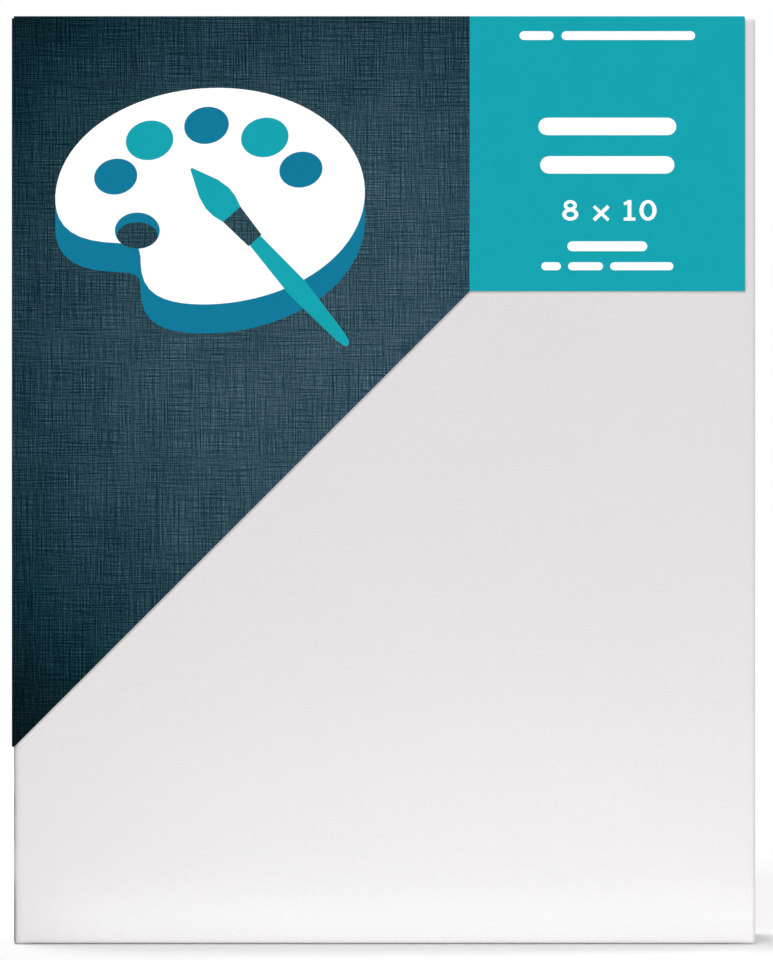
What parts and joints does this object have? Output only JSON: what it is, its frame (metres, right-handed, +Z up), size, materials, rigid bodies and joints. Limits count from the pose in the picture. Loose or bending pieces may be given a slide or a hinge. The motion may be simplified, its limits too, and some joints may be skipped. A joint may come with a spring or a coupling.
{
  "type": "stretched canvas",
  "caption": "Gallery-depth stretched canvas on a keyed wooden stretcher frame, stapled at the back, with a wrap-over card label that pulls off the front.",
  "frame": {"origin": "middle of the bottom edge, at mid depth, on the surface the canvas stands on", "axes": "+Z up the canvas, the painting face looks towards -Y, +X to the right of a viewer who faces it"},
  "size_m": [0.2049, 0.0372, 0.2557],
  "materials": {
    "pine": "matte",
    "key_wood": "matte",
    "primed_cotton": "matte",
    "staple_steel": "satin",
    "card": "satin"
  },
  "bodies": {
    "frame": {"bottom_bar": "pine", "left_bar": "pine", "top_bar": "pine", "right_bar": "pine", "canvas": "primed_cotton", "staples_bottom": "staple_steel", "staples_left": "staple_steel", "staples_top": "staple_steel", "staples_right": "staple_steel"},
    "key_bottom_left": {"key_bottom_left": "key_wood"},
    "key_bottom_right": {"key_bottom_right": "key_wood"},
    "key_left_top": {"key_left_top": "key_wood"},
    "key_left_bottom": {"key_left_bottom": "key_wood"},
    "key_top_right": {"key_top_right": "key_wood"},
    "key_top_left": {"key_top_left": "key_wood"},
    "key_right_bottom": {"key_right_bottom": "key_wood"},
    "key_right_top": {"key_right_top": "key_wood"},
    "label": {"label_card": "card"}
  },
  "joints": [
    {"name": "key_bottom_left_slide", "type": "slide", "parent": "frame", "child": "key_bottom_left", "axis": [0, 0, 1], "range_m": [0, 0.02]},
    {"name": "key_bottom_right_slide", "type": "slide", "parent": "frame", "child": "key_bottom_right", "axis": [0, 0, 1], "range_m": [0, 0.02]},
    {"name": "key_left_top_slide", "type": "slide", "parent": "frame", "child": "key_left_top", "axis": [1, 0, 0], "range_m": [0, 0.02]},
    {"name": "key_left_bottom_slide", "type": "slide", "parent": "frame", "child": "key_left_bottom", "axis": [1, 0, 0], "range_m": [0, 0.02]},
    {"name": "key_top_right_slide", "type": "slide", "parent": "frame", "child": "key_top_right", "axis": [0, 0, -1], "range_m": [0, 0.02]},
    {"name": "key_top_left_slide", "type": "slide", "parent": "frame", "child": "key_top_left", "axis": [0, 0, -1], "range_m": [0, 0.02]},
    {"name": "key_right_bottom_slide", "type": "slide", "parent": "frame", "child": "key_right_bottom", "axis": [-1, 0, 0], "range_m": [0, 0.02]},
    {"name": "key_right_top_slide", "type": "slide", "parent": "frame", "child": "key_right_top", "axis": [-1, 0, 0], "range_m": [0, 0.02]},
    {"name": "label_pull", "type": "slide", "parent": "frame", "child": "label", "axis": [0, -1, 0], "range_m": [0, 0.06]}
  ]
}
